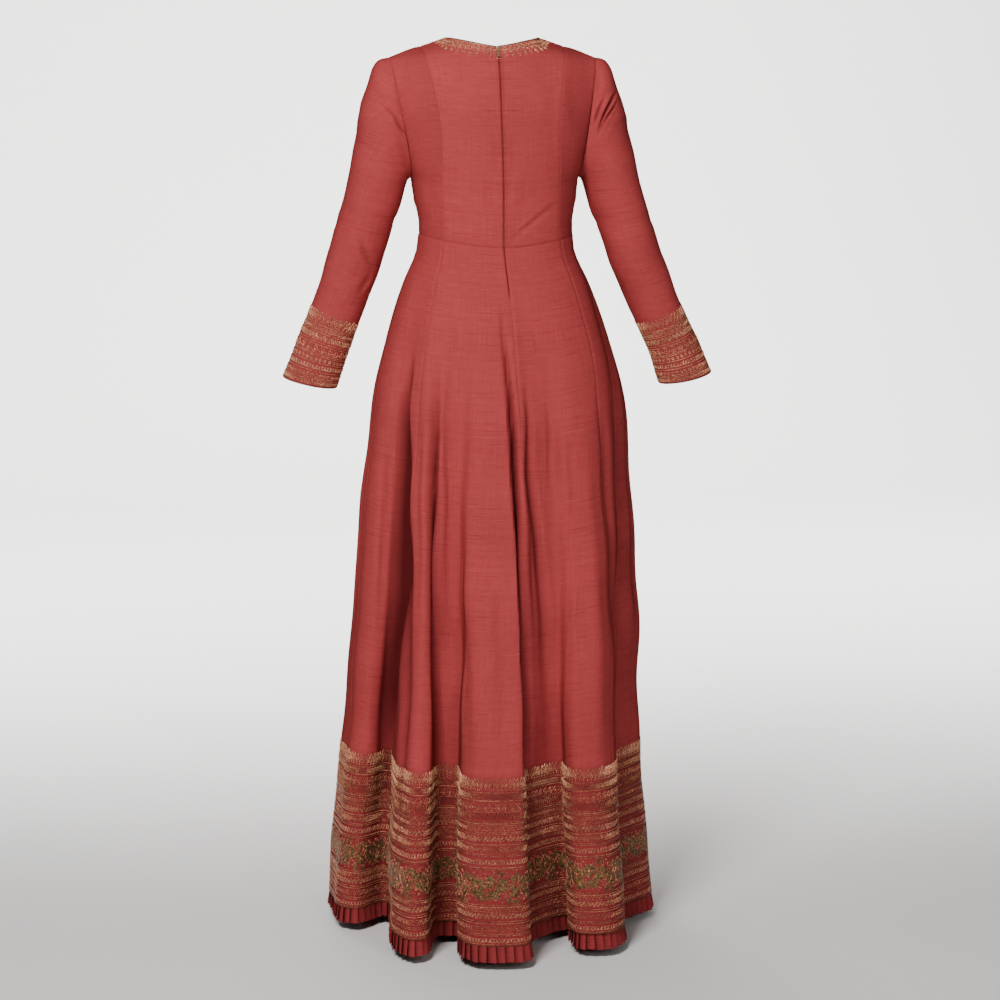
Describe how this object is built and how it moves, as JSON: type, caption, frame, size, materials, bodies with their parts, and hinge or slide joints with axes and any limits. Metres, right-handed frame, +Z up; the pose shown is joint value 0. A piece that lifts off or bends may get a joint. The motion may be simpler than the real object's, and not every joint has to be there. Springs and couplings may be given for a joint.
{
  "type": "kurta",
  "caption": "Floor-length princess-line kurta with slim long sleeves, a flared skirt in soft folds and a pleated frill, open at neck, cuffs and hem, filled out with no wearer.",
  "frame": {"origin": "midway between the two neck points of the shoulder seams", "axes": "+Z up, +Y the wearer's back, +X the wearer's left"},
  "size_m": [0.693, 0.6074, 1.4044],
  "materials": {
    "silk": "slubbed raw silk, soft satin sheen",
    "frill_silk": "slubbed raw silk, knife pleated",
    "zip_tape": "woven polyester tape, matte",
    "zip_metal": "lacquered, satin"
  },
  "bodies": {
    "kurta": {"bodice_back_centre_left": "silk", "bodice_back_side_left": "silk", "bodice_front_side_left": "silk", "bodice_front_centre": "silk", "bodice_front_side_right": "silk", "bodice_back_side_right": "silk", "bodice_back_centre_right": "silk", "sleeve_left": "silk", "sleeve_right": "silk", "skirt_back_centre_left": "silk", "skirt_back_side_left": "silk", "skirt_front_side_left": "silk", "skirt_front_centre": "silk", "skirt_front_side_right": "silk", "skirt_back_side_right": "silk", "skirt_back_centre_right": "silk", "frill_back_centre_left": "frill_silk", "frill_back_side_left": "frill_silk", "frill_front_side_left": "frill_silk", "frill_front_centre": "frill_silk", "frill_front_side_right": "frill_silk", "frill_back_side_right": "frill_silk", "frill_back_centre_right": "frill_silk", "zip_tape_left": "zip_tape", "zip_tape_right": "zip_tape", "zip_slider": "zip_metal"},
    "pull_tab": {"zip_pull_tab": "zip_metal"}
  },
  "joints": [
    {"name": "pull_tab_hinge", "type": "hinge", "parent": "kurta", "child": "pull_tab", "pos_m": [-0.00006, 0.06753, -0.01738], "axis": [1, 0, 0], "range_deg": [0, 150]}
  ]
}
